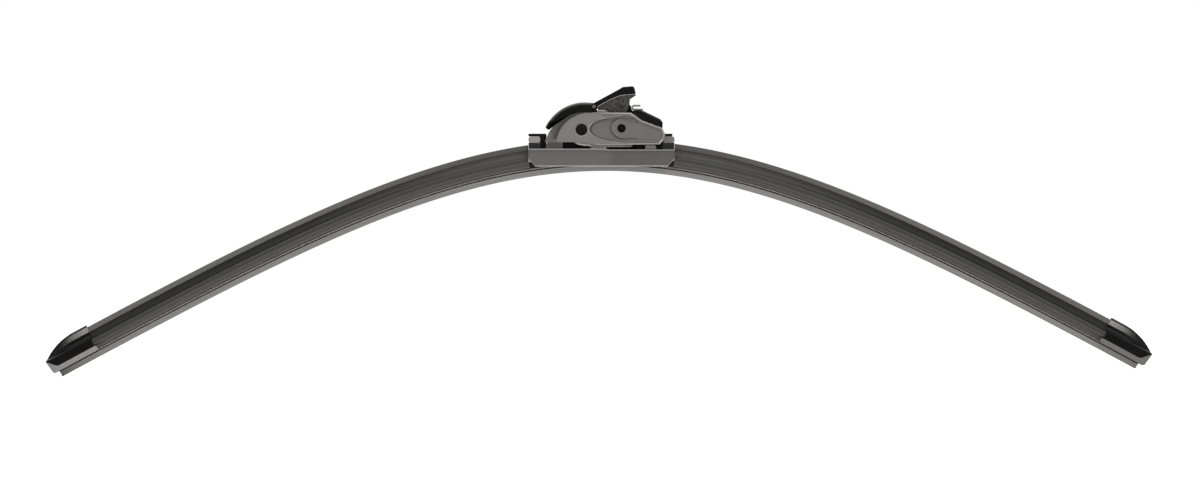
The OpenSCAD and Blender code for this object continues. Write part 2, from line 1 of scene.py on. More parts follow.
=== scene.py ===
"""Looks of a frameless windscreen wiper blade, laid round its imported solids."""
import json
import math

import bmesh
import bpy
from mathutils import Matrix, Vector


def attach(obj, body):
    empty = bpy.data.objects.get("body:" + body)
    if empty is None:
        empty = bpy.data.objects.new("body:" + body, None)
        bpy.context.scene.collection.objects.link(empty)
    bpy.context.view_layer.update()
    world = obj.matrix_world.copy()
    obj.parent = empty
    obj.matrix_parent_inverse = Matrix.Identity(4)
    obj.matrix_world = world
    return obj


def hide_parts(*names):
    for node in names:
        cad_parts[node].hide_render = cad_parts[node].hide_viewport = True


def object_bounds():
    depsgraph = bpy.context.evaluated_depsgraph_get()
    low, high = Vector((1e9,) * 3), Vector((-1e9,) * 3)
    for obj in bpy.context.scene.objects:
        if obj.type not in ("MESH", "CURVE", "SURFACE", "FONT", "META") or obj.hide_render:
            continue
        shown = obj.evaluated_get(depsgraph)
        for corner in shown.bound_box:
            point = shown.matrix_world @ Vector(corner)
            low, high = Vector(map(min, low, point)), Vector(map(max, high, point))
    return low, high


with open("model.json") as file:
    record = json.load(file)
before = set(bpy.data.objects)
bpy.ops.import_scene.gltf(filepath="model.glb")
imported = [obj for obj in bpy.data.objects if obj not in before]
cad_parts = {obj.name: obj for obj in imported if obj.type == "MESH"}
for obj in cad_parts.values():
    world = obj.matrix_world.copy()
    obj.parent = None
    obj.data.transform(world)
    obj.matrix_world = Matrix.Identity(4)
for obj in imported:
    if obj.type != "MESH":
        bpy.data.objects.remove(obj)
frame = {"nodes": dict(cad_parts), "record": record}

solid_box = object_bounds()
MM = 0.001
WHITE = (1.0, 1.0, 1.0, 1.0)

# The photograph's frame, in metres at the blade's middle plane
PICTURE_WIDTH = 0.666
PICTURE_CENTRE = Vector((0.01027, 0.0, -0.06105))
LENS = 180.0
SENSOR = 36.0

# The bend of the blade: the slope grows from the crown outwards and settles near the ends
END_SLOPE = math.radians(28.9)
BEND_LENGTH = 138 * MM
CROWN_X = 13.6 * MM
LIP_DROP = 22.7 * MM
ARM_LEFT = 330 * MM
ARM_RIGHT = 321 * MM
RAIL_MID = 8.6 * MM

# The cover's ends, and how far a cap covers an arm and grips its spoiler
COVER_LEFT = -29.4 * MM
COVER_RIGHT = 51.6 * MM
CAP_COVER = 25.1 * MM
CAP_GRIP = 10 * MM
# Added along a cap in its map of the straight blade, which keeps that map above zero
CAP_SHIFT = 1.0

# Places that shapes and paint share, in millimetres on the object: the side pin bores, the leaf
# round the large one, and the foot and the bevelled lower corners of the cover's skirts
BORES = ((0.0, 0.0), (22.2, 0.8))
LEAF_MIDDLE = (4.5, -9.5)
LEAF_RADIUS = 18.8
SKIRT_FOOT = -20.3
SKIRT_BEVEL = (3.9, 4.2)

# Tint of all greys, a little warm as under the photograph's lamps
WARMTH = (1.01, 1.0, 0.985)
# Sizes of the soft cloud and of the fine grain in moulded plastic
CLOUD = 9 * MM
FINE_GRAIN = 0.25 * MM


# Shader maths

class Value:
    """A number that changes over a surface, with Python's own signs for its maths."""

    def __init__(self, nodes, socket):
        self.nodes = nodes
        self.socket = socket

    def with_sign(self, operation, *numbers):
        made = self.nodes.node("ShaderNodeMath", {"operation": operation}, *numbers)
        return Value(self.nodes, made.outputs[0])

    def __add__(self, other):
        return self.with_sign("ADD", self, other)

    def __radd__(self, other):
        return self.with_sign("ADD", other, self)

    def __sub__(self, other):
        return self.with_sign("SUBTRACT", self, other)

    def __rsub__(self, other):
        return self.with_sign("SUBTRACT", other, self)

    def __mul__(self, other):
        return self.with_sign("MULTIPLY", self, other)

    def __rmul__(self, other):
        return self.with_sign("MULTIPLY", other, self)

    def size(self):
        return self.with_sign("ABSOLUTE", self)

    def root(self):
        return self.with_sign("SQRT", self)

    def lesser(self, other):
        return self.with_sign("MINIMUM", self, other)

    def clipped(self):
        return self.with_sign("MAXIMUM", self.lesser(1.0), 0.0)

    def between(self, low, high):
        """0 below low, 1 above high and smooth between them."""
        made = self.nodes.node(
            "ShaderNodeMapRange", {"interpolation_type": "SMOOTHSTEP"}, self, low, high, 0.0, 1.0)
        return Value(self.nodes, made.outputs[0])

    def band(self, low, high, edge):
        """1 from low to high and 0 outside, over soft edges."""
        return self.between(low - edge, low + edge) * (1 - self.between(high - edge, high + edge))


class Nodes:
    """The nodes of a material or a world, and the one way in which they are made and joined."""

    def __init__(self, owner):
        owner.use_nodes = True
        self.tree = owner.node_tree
        self.tree.nodes.clear()

    def join(self, socket, value):
        if isinstance(value, Value):
            value = value.socket
        if isinstance(value, bpy.types.NodeSocket):
            self.tree.links.new(value, socket)
        else:
            socket.default_value = value

    def node(self, kind, settings=None, *inputs, **named):
        """A node with its settings, then its sockets in order, then sockets by name."""
        made = self.tree.nodes.new(kind)
        for key, value in (settings or {}).items():
            setattr(made, key, value)
        for socket, value in zip(made.inputs, inputs):
            self.join(socket, value)
        for key, value in named.items():
            self.join(made.inputs[key], value)
        return made

    def looked_at(self):
        """1 where the camera, a mirror image or a view through glass looks, and 0 for light."""
        ray = self.node("ShaderNodeLightPath")
        kinds = ("Is Camera Ray", "Is Glossy Ray", "Is Transmission Ray")
        camera, glossy, through = [Value(self, ray.outputs[kind]) for kind in kinds]
        return (camera + glossy + through).clipped()


class Finish(Nodes):
    """One material: a main shader, and what changes over the surface."""

    # Places of the amount, of both colours and of the result on a node that mixes colours
    AMOUNT, FIRST, SECOND, RESULT = 0, 6, 7, 2

    def __init__(self, name, level, roughness, metallic=0.0, specular=0.5):
        self.material = bpy.data.materials.new(name)
        super().__init__(self.material)
        self.shader = self.node("ShaderNodeBsdfPrincipled")
        self.put("Base Color", shade(level))
        self.put("Roughness", roughness)
        self.put("Metallic", metallic)
        self.put("Specular IOR Level", specular)
        self.node("ShaderNodeOutputMaterial", None, self.shader.outputs[0])
        self.material.diffuse_color = shade(level)

    def put(self, socket, value):
        self.join(self.shader.inputs[socket], value)

    def place(self, scale, uv=False):
        """Points of the surface: on the object, or on the straight blade before its bend."""
        if uv:
            source = self.node("ShaderNodeUVMap", {"uv_map": "unbent"}).outputs[0]
        else:
            source = self.node("ShaderNodeTexCoord").outputs["Object"]
        return self.node("ShaderNodeMapping", None, Vector=source, Scale=scale).outputs[0]

    def noise(self, size, detail=3.0, stretch=(1.0, 1.0, 1.0), uv=False, rough=0.5):
        """Soft noise from 0 to 1, about size metres across."""
        scale = tuple(s / size for s in stretch)
        made = self.node("ShaderNodeTexNoise", None, Vector=self.place(scale, uv),
                         Scale=1.0, Detail=detail, Roughness=rough)
        return Value(self, made.outputs[0])

    def parts(self, vector):
        """The three numbers of a vector."""
        split = self.node("ShaderNodeSeparateXYZ", None, vector)
        return [Value(self, out) for out in split.outputs]

    def along_and_up(self):
        """Distance from the crown and height above the lip, in millimetres."""
        return self.parts(self.place((1 / MM, 1 / MM, 1.0), uv=True))[:2]

    def where(self):
        """Place on the object, in millimetres."""
        return self.parts(self.place((1 / MM, 1 / MM, 1 / MM)))

    def marked(self, name):
        """1 on the faces that the piece marks in a map of that name, and 0 elsewhere."""
        source = self.node("ShaderNodeUVMap", {"uv_map": name}).outputs[0]
        return self.parts(source)[0]

    def mixed(self, amount, first, second):
        made = self.node("ShaderNodeMix", {"data_type": "RGBA"})
        self.join(made.inputs[self.AMOUNT], amount)
        self.join(made.inputs[self.FIRST], first)
        self.join(made.inputs[self.SECOND], second)
        return made.outputs[self.RESULT]

    def paint(self, ground, *layers):
        """The colour: a ground, and layers over it of an amount from 0 to 1 and a colour."""
        for amount, colour in layers:
            ground = self.mixed(amount, ground, colour)
        self.put("Base Color", ground)

    def grain(self, height, depth):
        """Fine relief of that depth in metres, from a value of 0 to 1."""
        made = self.node("ShaderNodeBump", None, Height=height, Distance=depth, Strength=1.0)
        self.put("Normal", made.outputs[0])


def shade(level):
    """A slightly warm grey, as light as that level of 255 on a screen."""
    parts = [level / 255 * warm for warm in WARMTH]
    return tuple(p / 12.92 if p < 0.04 else ((p + 0.055) / 1.055) ** 2.4 for p in parts) + (1.0,)


def far_from(x, z, middle, radii=(1.0, 1.0)):
    """Distance from an ellipse's middle in its own radii, which is 1 on its line."""
    across = (x - middle[0]) * (1 / radii[0])
    over = (z - middle[1]) * (1 / radii[1])
    return (across * across + over * over).root()


def lip_rubber():
    """Black rubber with a grey bloom in fine streaks along the blade; the lip is painted lighter
    as a reflection of the floor, the groove above it carries painted shade with a painted
    highlight down its middle, and painted shadow lies on the rubber under the cover's ends.
    """
    made = Finish("squeegee_rubber", 100, 0.62, specular=0.12)
    along, up = made.along_and_up()
    streaks = made.noise(3 * MM, 4.0, (0.02, 1.0, 1.0), uv=True)
    # Painted light and shade: a lighter lip as a reflection of the floor, shade in the groove with
    # a highlight down its core, and shadow on the rubber under the cover
    lip = 1 - up.between(2.7, 3.0)
    neck_shade = up.band(3.0, 4.75, 0.15)
    neck_core_highlight = up.band(3.6, 4.2, 0.2)
    shadow_under_cover = up.between(4.3, 4.6) * along.band(-43, 38, 0.2)
    bloom = (streaks.between(0.4, 0.75) * 0.3).clipped()
    made.paint(
        shade(112),
        (lip, shade(154)),
        (neck_shade, shade(16)),
        (neck_core_highlight, shade(235)),
        (shadow_under_cover, shade(30)),
        (bloom, shade(110)))
    made.put("Roughness", 0.55 + 0.2 * streaks)
    made.grain(made.noise(0.5 * MM, stretch=(0.1, 1.0, 1.0), uv=True), 0.02 * MM)
    return made.material


def spoiler_rubber():
    """Extruded rubber with faint grey streaks: its crest painted lighter towards the ends as lit
    from above, its waist in painted shade at the ends and painted lighter near the middle as a
    reflection, painted shade in the crease, and a base that is paler at its foot.
    """
    made = Finish("spoiler_rubber", 66, 0.5, specular=0.12)
    along, up = made.along_and_up()
    streaks = made.noise(1.2 * MM, 4.0, (0.01, 1.0, 1.0), uv=True)
    near_middle = 1 - along.size().between(45, 190)
    base = made.mixed(up.between(7.2, 8.4), shade(92), shade(64))
    # Painted light and shade: the waist is shaded at the ends and lit near the middle as a
    # reflection, the crest is lit towards the ends, and the crease is shaded
    waist_shade_and_sheen = made.mixed(near_middle, shade(50), shade(92))
    crest_light = made.mixed(near_middle, shade(90), shade(66))
    crease_shade = up.band(10.2, 11.3, 0.25) * (1 - 0.6 * near_middle)
    bloom = (streaks.between(0.4, 0.8) * 0.12).clipped()
    made.paint(
        base,
        (up.between(10.5, 11.2), waist_shade_and_sheen),
        (crease_shade, shade(14)),
        (up.between(14.4, 14.8), crest_light),
        (bloom, shade(104)))
    made.put("Roughness", 0.45 + 0.2 * streaks)
    made.grain(made.noise(0.4 * MM, 2.0), 0.01 * MM)
    return made.material


def block_black():
    """Black plastic with a fine grain and slightly uneven gloss."""
    made = Finish("block_plastic", 18, 0.5, specular=0.06)
    cloud = made.noise(CLOUD)
    made.paint(shade(18), ((cloud * 0.24).clipped(), shade(14.4)))
    made.put("Roughness", 0.45 + 0.1 * cloud)
    made.grain(made.noise(FINE_GRAIN, 2.0), 0.01 * MM)
    return made.material


def cap_gloss():
    """Polished black over a satin grey skirt that wraps round the nose's lower corner; the skirt's
    grey is a painted reflection of the floor, lighter on the left cap, and a painted sheen fades
    along the slanted leaf towards the tip.
    """
    made = Finish("cap_plastic", 12, 0.2, specular=0.06)
    along, up = made.along_and_up()
    out = along - CAP_SHIFT / MM
    x, y, _ = made.where()
    cloud = made.noise(4 * MM)
    nose = out.between(-2.0, 4.2)
    black = (up - 4.5 * nose).between(6.0, 6.5)
    above = (up - 13.3 + 0.05 * (out + 12.0)).between(-0.25, 0.25)
    facet = made.marked("facet") * above * y.size().between(1.2, 1.6)
    # Painted light: the grey skirt stands in for the floor's reflection and is painted lighter on
    # the left cap, and the leaf's colour is a painted sheen fading towards the tip
    skirt = made.mixed(x.between(-10, 10), shade(158), shade(124))
    leaf = made.mixed(out.between(-25, -6), shade(122), shade(14))
    made.paint(skirt, (black, shade(12)), (facet, leaf))
    made.put("Roughness", 0.5 - 0.25 * black + 0.08 * cloud)
    made.put("Coat Weight", 0.1 * facet)
    made.put("Coat Roughness", 0.08)
    made.grain(made.noise(6 * MM, 1.0), 0.01 * MM)
    return made.material


def steel(name, level, roughness):
    """Steel whose gloss is finely brushed along X."""
    made = Finish(name, level, roughness, metallic=1.0)
    brushed = made.noise(0.6 * MM, stretch=(0.05, 1.0, 1.0))
    made.put("Roughness", roughness - 0.06 + 0.12 * brushed)
    return made.material


def cover_grey():
    """Satin grey moulding whose right half is a touch darker, with tower necks in painted shade,
    tower heads and right-hand ribs painted lit, and painted highlights along the skirts' top
    edges, bevelled lower corners and feet.
    """
    made = Finish("cover_plastic", 104, 0.5, specular=0.3)
    x, y, z = made.where()
    cloud = made.noise(CLOUD)
    body = made.mixed(x.between(13, 18), shade(98), shade(86))
    floor_left = z.between(-10.4, -9.9) * (1 - x.between(-8, 0))
    # Painted light on the ribs and inner faces on the right, which lie in shade
    floor_right_lit = z.between(-10.9, -10.3) * x.between(20, 28)
    # Painted light: the tower heads are painted lit, the left ones more, and the necks below them
    # are painted in shade
    heads = made.mixed(x.between(20, 30), shade(150), shade(116))
    towers = 1 - x.between(-22.5, -22.2) * (1 - x.between(44.3, 44.6))
    necks = z.band(-10.6, -7.3, 0.1) * towers * (1 - y.size().between(5.4, 5.6))
    skirts = y.size().between(8.0, 8.3)
    # The right half of the skirts is half a millimetre lower
    below_top = z + 10.5 + 0.5 * x.between(11.1, 16.1)
    inwards = (x - COVER_LEFT / MM).lesser(COVER_RIGHT / MM - x)
    corner = inwards * (1 / SKIRT_BEVEL[0]) + (z - SKIRT_FOOT) * (1 / SKIRT_BEVEL[1]) - 1
    # Painted highlights along the skirts' top edges, their bevelled lower corners and their feet
    made.paint(
        body,
        ((cloud * 0.25).clipped(), shade(80)),
        (floor_left, shade(96)),
        (floor_right_lit, shade(150)),
        (z.between(-7.4, -7.2), heads),
        (necks, shade(16)),
        (below_top.band(-0.5, 0.1, 0.06) * skirts, shade(150)),
        ((1 - corner.between(0.04, 0.08)) * skirts, shade(170)),
        ((1 - z.between(-19.95, -19.85)) * skirts, shade(176)))
    made.put("Roughness", 0.45 + 0.1 * cloud)
    made.grain(made.noise(FINE_GRAIN, 2.0), 0.008 * MM)
    return made.material


def plate_grey():
    """Satin grey plate with painted shade where its nose slopes away from the leaf round the bore,
    a leaf painted lighter as lit, painted shadow and highlight lines along the field's and the
    pad's edges, and painted highlights on the relief's rims and the lugs' top edges.
    """
    made = Finish("plate_plastic", 116, 0.42, specular=0.3)
    x, y, z = made.where()
    cloud = made.noise(CLOUD)
    body = made.mixed((cloud * 0.3).clipped(), shade(108), shade(90))
    away = far_from(x, z, LEAF_MIDDLE) - LEAF_RADIUS
    field = far_from(x, z, (26.0, 0.3), (21.5, 7.3))
    pad = far_from(x, z, (25.7, 1.0), (8.6, 5.8))
    outer = y.size().between(7.0, 7.1)
    left = (1 - x.between(24, 27)) * outer
    low_edge = x.between(25, 27) * (1 - x.between(42, 44)) * outer
    nose = away.between(-0.1, 0.3) * (1 - away.between(0.6, 4.6)) * (1 - x.between(0, 5))
    leaf = (1 - away.between(-0.4, 0)) * field.between(1.03, 1.08) * left
    rim = made.mixed(z.between(-6, -5), shade(205), shade(150))
    lug_highlight = z.between(10.4, 10.6) * (1 - x.between(15, 16))
    # Painted light and shade: shade on the sloping nose and in a crescent by the pad, a lit leaf,
    # shadow lines with highlight lines beside them along the field's nose and lower edge and the
    # pad's edge, and highlights on the rims and the lugs' top edges
    made.paint(
        body,
        (nose * z.between(-6.6, -4.4), shade(56)),
        (leaf, shade(122)),
        (field.band(1.0, 1.05, 0.01) * left, shade(142)),
        (field.band(0.96, 1.0, 0.01) * left, shade(30)),
        (z.band(-7.7, -7.25, 0.06) * low_edge, shade(150)),
        (z.band(-7.2, -6.9, 0.06) * low_edge, shade(54)),
        (pad.band(1.0, 1.22, 0.05) * left * 0.6, shade(70)),
        (pad.band(0.97, 1.0, 0.01) * left, shade(150)),
        (made.marked("rim"), rim),
        (lug_highlight, shade(180)))
    made.put("Roughness", 0.38 + 0.1 * cloud)
    made.grain(made.noise(FINE_GRAIN, 2.0), 0.01 * MM)
    return made.material


def adapter_black():
    """Black moulding with a coarse grain, and a painted sheen, broken up by the grain, on its
    rounded upper edges.
    """
    made = Finish("adapter_plastic", 12, 0.42, specular=0.06)
    x, y, z = made.where()
    grain = made.noise(0.5 * MM, 4.0, rough=0.7)
    upper_edges = (1 - y.size().between(6.7, 7.9)) * z.between(4, 6)
    # Painted sheen on the rounded upper edges, broken up by the grain
    edge_sheen = upper_edges * (1 - x.band(5.2, 29.2, 0.3)) * (0.4 + grain)
    made.paint(shade(12), (edge_sheen.clipped(), shade(112)))
    made.put("Roughness", 0.4 + 0.15 * grain)
    made.grain(grain, 0.06 * MM)
    return made.material


def lever_black():
    """Black strap and head over cheeks painted with a mottled grey sheen, with a painted highlight
    line under both.
    """
    made = Finish("lever_plastic", 12, 0.42, specular=0.06)
    x, y, z = made.where()
    mottle = made.noise(0.9 * MM, 4.0, (1.0, 1.0, 0.6), rough=0.8)
    cheek = (1 - y.size().between(3.95, 4.05)) * x.between(8.6, 9.0)
    cheek_sheen = made.mixed(mottle.between(0.3, 0.7), shade(30), shade(92))
    strap_line = 11.7 + 0.545 * (x - 7.5)
    head_line = 18.6 + 0.085 * (x - 22.0)
    under = 1 - (z - strap_line.lesser(head_line)).between(0.6, 0.9)
    under_highlight = y.size().band(3.98, 4.14, 0.02) * under
    # Painted light: a mottled sheen on the cheeks and a highlight line along the lower edges of
    # strap and head
    made.paint(shade(11), (cheek, cheek_sheen), (under_highlight, shade(190)))
    made.put("Roughness", 0.4 + 0.1 * mottle)
    made.grain(mottle, 0.05 * MM)
    return made.material


FINISHES = {
    "squeegee_rubber": lip_rubber(),
    "spring_steel": steel("spring_steel", 170, 0.32),
    "pressed_steel": steel("pressed_steel", 160, 0.38),
    "spoiler_rubber": spoiler_rubber(),
    "cap_plastic": cap_gloss(),
    "cover_plastic": cover_grey(),
    "block_plastic": block_black(),
    "pin_steel": steel("pin_steel", 84, 0.45),
    "adapter_plastic": adapter_black(),
    "plate_plastic": plate_grey(),
    "lever_plastic": lever_black(),
    "catch_steel": steel("catch_steel", 112, 0.4),
}
SLOT_OF = {row["node"]: row["material_slot"] for row in frame["record"]["subparts"]}
for name, node in frame["nodes"].items():
    node.data.materials.clear()
    node.data.materials.append(FINISHES[SLOT_OF[name]])


# The bend

def slope(s):
    return END_SLOPE * math.tanh(s / BEND_LENGTH)


def rail_point(s):
    """The rails' middle at that distance from the crown."""
    steps = 60
    part = s / steps
    turns = [slope((i + 0.5) * part) for i in range(steps)]
    return Vector((CROWN_X + part * sum(map(math.cos, turns)), 0.0,
                   RAIL_MID - LIP_DROP - part * sum(map(math.sin, turns))))


def crown_place(x):
    """Distance along the rails at which the blade is at x."""
    low, high = -ARM_LEFT, ARM_RIGHT
    for _ in range(50):
        middle = (low + high) / 2
        low, high = (middle, high) if rail_point(middle).x < x else (low, middle)
    return low


def bend(made, upright=None):
    """Lays the straight blade, drawn along X with its height along Z, along the bend.

    The end at upright is cut straight up, as where it meets the cover.
    """
    layer = made.loops.layers.uv.new("unbent")
    for face in made.faces:
        for corner in face.loops:
            corner[layer].uv = (corner.vert.co.x, corner.vert.co.z)
    known = {}
    for vert in made.verts:
        key = round(vert.co.x, 7)
        if key not in known:
            known[key] = (rail_point(key), slope(key))
        middle, turn = known[key]
        high = vert.co.z - RAIL_MID
        if upright is not None and abs(key - upright) < 0.2 * MM:
            vert.co = Vector((middle.x, vert.co.y, middle.z + high / math.cos(turn)))
        else:
            vert.co = Vector((middle.x + high * math.sin(turn), vert.co.y,
                              middle.z + high * math.cos(turn)))


# Making pieces

SMOOTH_BELOW = math.radians(32)


def finished(mesh_now, name, body, *nodes):
    """A piece from a made mesh, which rides on a body and stands for some of the solids."""
    bmesh.ops.remove_doubles(mesh_now, verts=mesh_now.verts, dist=0.001 * MM)
    bmesh.ops.recalc_face_normals(mesh_now, faces=mesh_now.faces)
    data = bpy.data.meshes.new(name)
    mesh_now.to_mesh(data)
    mesh_now.free()
    data.polygons.foreach_set("use_smooth", [True] * len(data.polygons))
    data.set_sharp_from_angle(angle=SMOOTH_BELOW)
    made = bpy.data.objects.new(name, data)
    bpy.context.scene.collection.objects.link(made)
    slot = SLOT_OF[nodes[0]]
    data.materials.append(FINISHES[slot])
    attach(made, body)
    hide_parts(*nodes)
    return made


def copy_of(node):
    """The solid's own mesh with its doubles merged and its flat faces whole."""
    made = bmesh.new()
    made.from_mesh(frame["nodes"][node].data)
    bmesh.ops.remove_doubles(made, verts=made.verts, dist=0.002 * MM)
    bmesh.ops.dissolve_limit(made, angle_limit=math.radians(0.6), use_dissolve_boundaries=False,
                             verts=made.verts, edges=made.edges, delimit=set())
    return made


def pulled(corners, way):
    """A closed piece: one face on those corners, pulled along a vector."""
    made = bmesh.new()
    face = made.faces.new([made.verts.new(corner) for corner in corners])
    moved = bmesh.ops.extrude_face_region(made, geom=[face])["geom"]
    bmesh.ops.translate(made, vec=way,
                        verts=[v for v in moved if isinstance(v, bmesh.types.BMVert)])
    return made


def side_piece(outline, low, high):
    """A flat piece of that outline of (x, z) corners, from y low to high, in millimetres."""
    return pulled([(x * MM, low * MM, z * MM) for x, z in outline], (0, (high - low) * MM, 0))


def long_edges(made, length):
    """Edges that run further than that along X."""
    return [e for e in made.edges if abs(e.verts[0].co.x - e.verts[1].co.x) > length]


def straight_bar(outline, start, end, round_by):
    """A bar of one outline of (height, y) corners, with rounded long edges and even cuts."""
    step = 2.5 * MM
    made = pulled([(start, y, h) for h, y in outline], (end - start, 0, 0))
    bmesh.ops.bevel(made, geom=long_edges(made, step), offset=round_by, offset_type="OFFSET",
                    affect="EDGES", segments=2, profile=0.5, material=-1, clamp_overlap=True)
    bmesh.ops.subdivide_edges(made, edges=long_edges(made, step),
                              cuts=round((end - start) / step), use_grid_fill=True)
    return made


def both_sides(half):
    """The whole outline from its rear half, written as (height, y) in millimetres."""
    return [(h * MM, y * MM) for h, y in half] + [(h * MM, -y * MM) for h, y in reversed(half)]


def round_edges(made, round_by, segments=2, corner=28, chosen=None):
    """Rounds the edges sharper than corner, in degrees, or of those the chosen ones."""
    sharp = [e for e in made.edges
             if len(e.link_faces) == 2 and e.calc_face_angle(0) > math.radians(corner)
             and (chosen is None or chosen(e))]
    bmesh.ops.bevel(made, geom=sharp, offset=round_by * MM, offset_type="OFFSET",
                    affect="EDGES", segments=segments, profile=0.5, material=-1,
                    clamp_overlap=chosen is None)


def mark(made, name, chosen):
    """Marks the chosen faces in a map of that name, which a finish reads."""
    layer = made.loops.layers.uv.new(name)
    for face in made.faces:
        amount = 1 if chosen(face) else 0
        for corner in face.loops:
            corner[layer].uv = (amount, 0)


# Edges that are rounded more than the rest

HOOD_MIDDLE = (1.86, -8.88)
HOOD_RADIUS = 24.1
CORE_SIDE = 7.8 * MM
WEDGE_START = 29 * MM
WEDGE_END = 44.4
WEDGE_FOOT = 5
WEDGE_SLOPE = 0.4
STRAP_START = 7 * MM
STRAP_SIDE = 4.1 * MM
PLATE_SIDE = 7.85 * MM
RELIEF_SIDE = 6.6 * MM


def outside_arc(vert, middle, radius):
    """How far a point lies outside an arc in side view, in millimetres."""
    return math.hypot(vert.co.x / MM - middle[0], vert.co.z / MM - middle[1]) - radius


def on_hood(edge):
    """Along the hood's arc, on a side of the core."""
    return all(abs(outside_arc(v, HOOD_MIDDLE, HOOD_RADIUS)) < 0.1
               and abs(v.co.y) > CORE_SIDE for v in edge.verts)


def on_wedge_top(edge):
    """Along the wedge's top, on a side of the core."""
    return all(v.co.x > WEDGE_START and abs(v.co.y) > CORE_SIDE
               and v.co.z / MM > WEDGE_FOOT + (WEDGE_END - v.co.x / MM) * WEDGE_SLOPE
               for v in edge.verts)


def on_strap(edge):
    """Along the sides of the lever's strap and head."""
    return all(v.co.x > STRAP_START and abs(v.co.y) > STRAP_SIDE for v in edge.verts)


def on_plate_border(edge):
    """Where a side plate's outer face meets its rim."""
    return (all(abs(v.co.y) > PLATE_SIDE for v in edge.verts)
            and any(abs(f.normal.y) < 0.5 and min(abs(v.co.y) for v in f.verts) < RELIEF_SIDE
                    for f in edge.link_faces))


# Changes of shape that the solids leave out

# Cuts above and below the recessed middle of the skirts, and how deep it lies
BEAD_CUTS = (-19.95, -19.7, -12.0, -11.75)
BEAD_DEPTH = 0.3
# Old and new places of the tower necks' walls and of the block's webs, along X
NECK_WALLS = ((-28.6, -29.3), (-23.6, -22.8), (45.8, 45.0), (50.8, 51.5))
WEB_ENDS = ((-22.7, -23.5), (44.9, 45.7))
RIB_LIFT = 0.4
NOSE_SLOPE = 0.16
CATCH_GROWTH = 0.12


def shift_along(vert, moves, reach):
    """Shifts a point that is at one of the old places to the new one, in millimetres."""
    for old, new in moves:
        if abs(vert.co.x / MM - old) < reach:
            vert.co.x = new * MM


def slope_nose(made):
    """Lets a plate's nose slope away from the leaf round its large bore."""
    for vert in made.verts:
        away = outside_arc(vert, LEAF_MIDDLE, LEAF_RADIUS)
        if away > 0.3 and vert.co.x < 0 and abs(vert.co.y) > 7 * MM:
            vert.co.y -= math.copysign(NOSE_SLOPE * away * MM, vert.co.y)


def shape_cover(made):
    """Beads along the skirts' edges, broad tower necks, and a rib up to the plates."""
    for cut in BEAD_CUTS:
        bmesh.ops.bisect_plane(made, geom=made.verts[:] + made.edges[:] + made.faces[:],
                               plane_co=(0, 0, cut * MM), plane_no=(0, 0, 1), dist=0.001 * MM)
    for vert in made.verts:
        x, y, z = vert.co / MM
        if abs(y) > 9.6 and -19.8 < z < -11.9:
            vert.co.y -= math.copysign(BEAD_DEPTH * MM, y)
        if abs(y) < 4.1 and -11.2 < z < -6.1:
            shift_along(vert, NECK_WALLS, 0.05)
        if -20 < x < -10 and -8.8 < z < -7.3 and abs(y) > 4.5:
            vert.co.z += RIB_LIFT * MM


def reach_towers(made):
    """Lets the block's webs reach the rounded heads of the towers."""
    for vert in made.verts:
        shift_along(vert, WEB_ENDS, 0.06)


def thicker(made):
    """The catch's strip, a little fuller all round."""
    made.normal_update()
    moves = {v: v.normal.copy() for v in made.verts}
    for vert, way in moves.items():
        vert.co += way * CATCH_GROWTH * MM


# The pieces

def on_rim(face):
    """On a slanted rim of a side plate's relief, away from the bores."""
    middle = face.calc_center_median() / MM
    by_bore = min(math.hypot(middle.x - x, middle.z - z) for x, z in BORES) < 4.4
    return 0.25 < abs(face.normal.y) < 0.97 and abs(middle.y) > 7 and not by_bore


def moulding(node, body, round_by, bigger=(), shape=None):
    """A rounded copy of a solid; bigger lists the edges that get a larger round."""
    made = copy_of(node)
    if shape is not None:
        shape(made)
    for chosen, size, steps in bigger:
        round_edges(made, size, steps, 20, chosen)
    round_edges(made, round_by)
    mark(made, "rim", on_rim)
    piece = finished(made, node + "_moulding", body, node)
    flat = piece.modifiers.new("flat_faces", "WEIGHTED_NORMAL")
    flat.keep_sharp = True


LUG = [(7.4, 9.2), (7.4, 10.2), (8.1, 10.9), (12.6, 10.9), (14.6, 10.2), (15.2, 9.2)]
PAD = [(-10.8, -8.2), (-10.8, -7), (-10.2, -6.7), (-3, -6.7), (-2, -8.2)]
POST = [(24.6, 8), (25, 13.6), (25.8, 14.1), (26.8, 14), (27.5, 13.2), (27.7, 11.4),
        (28.6, 10.6), (30.6, 9.6), (31, 8)]


def hinge_lug(side, low, high):
    """Low wall beside the lever's root, on the adapter's core."""
    made = side_piece(LUG, low, high)
    round_edges(made, 0.25)
    finished(made, "hinge_lug_" + side, "adapter", "side_plate_" + side)


def block_pad():
    """Raised pad on the block's base, under the left end of the side plates."""
    made = side_piece(PAD, -3.5, 3.5)
    round_edges(made, 0.2)
    finished(made, "block_pad", "blade", "pivot_block")


def catch_post():
    """Narrow post between the lever's cheeks that holds the catch."""
    made = side_piece(POST, -2.3, 2.3)
    round_edges(made, 0.2)
    finished(made, "catch_post", "adapter", "adapter_body")


